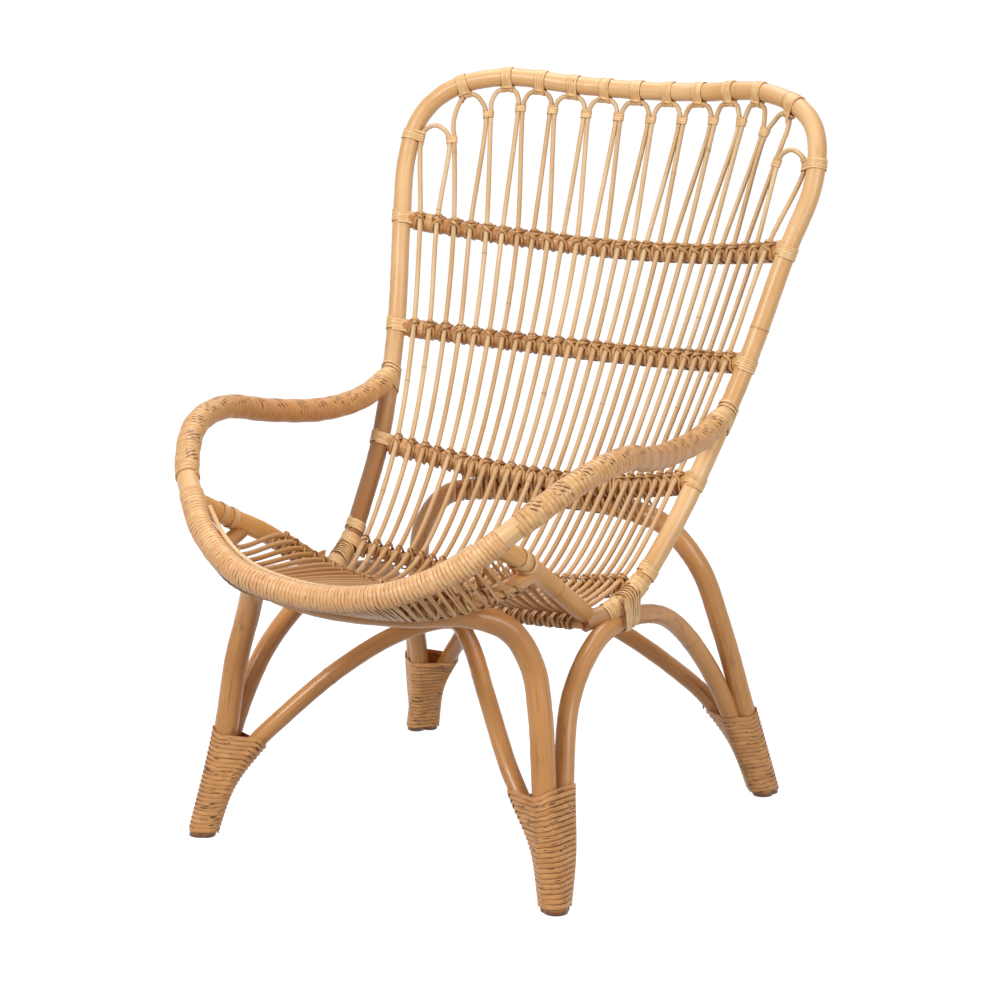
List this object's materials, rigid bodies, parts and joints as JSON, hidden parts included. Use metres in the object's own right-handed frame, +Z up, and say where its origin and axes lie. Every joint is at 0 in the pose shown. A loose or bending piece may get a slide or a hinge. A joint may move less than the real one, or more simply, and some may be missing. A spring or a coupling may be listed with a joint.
{
  "type": "rattan lounge armchair",
  "caption": "High-backed lounge armchair of bent rattan poles, with hairpin hoops of thin cane for seat and back, peel-wound arms and arched, braced legs.",
  "frame": {"origin": "centre of the chair's bounding box, on the floor", "axes": "+X to the sitter's left, +Y to the chair's back, +Z up"},
  "size_m": [0.7142, 0.8916, 1.0246],
  "materials": {
    "pole_cane": "lacquered honey-brown rattan pole",
    "leg_cane": "lacquered tan-brown rattan pole with darker streaks",
    "rod_cane": "satin straw-coloured thin cane",
    "pale_peel": "satin split rattan peel",
    "foot_peel": "satin split rattan peel, darker at the feet"
  },
  "bodies": {
    "root": {"back_frame_pole": "pole_cane", "arm_front_pole": "pole_cane", "side_rail_left": "pole_cane", "side_rail_right": "pole_cane", "back_rail_upper": "pole_cane", "back_rail_middle": "pole_cane", "back_rail_lower": "pole_cane", "bend_rail": "leg_cane", "seat_rail_rear": "leg_cane", "seat_rail_middle": "leg_cane", "seat_rail_front": "leg_cane", "front_leg_arch": "leg_cane", "rear_leg_arch": "leg_cane", "side_arch_left": "leg_cane", "side_arch_right": "leg_cane", "front_brace_arch": "leg_cane", "rear_brace_arch": "leg_cane", "hoop_01": "rod_cane", "hoop_02": "rod_cane", "hoop_03": "rod_cane", "hoop_04": "rod_cane", "hoop_05": "rod_cane", "hoop_06": "rod_cane", "hoop_07": "rod_cane", "hoop_08": "rod_cane", "hoop_09": "rod_cane", "hoop_10": "rod_cane", "hoop_11": "rod_cane", "hoop_12": "rod_cane", "hoop_13": "rod_cane", "front_edge_rod": "rod_cane", "arm_peel_left": "pale_peel", "arm_peel_right": "pale_peel", "front_rail_peel": "pale_peel", "hoop_lashing_01": "pale_peel", "hoop_lashing_02": "pale_peel", "hoop_lashing_03": "pale_peel", "hoop_lashing_04": "pale_peel", "hoop_lashing_05": "pale_peel", "hoop_lashing_06": "pale_peel", "hoop_lashing_07": "pale_peel", "hoop_lashing_08": "pale_peel", "hoop_lashing_09": "pale_peel", "hoop_lashing_10": "pale_peel", "hoop_lashing_11": "pale_peel", "hoop_lashing_12": "pale_peel", "hoop_lashing_13": "pale_peel", "foot_binding_front_left": "foot_peel", "foot_binding_front_right": "foot_peel", "foot_binding_rear_left": "foot_peel", "foot_binding_rear_right": "foot_peel"}
  },
  "joints": []
}
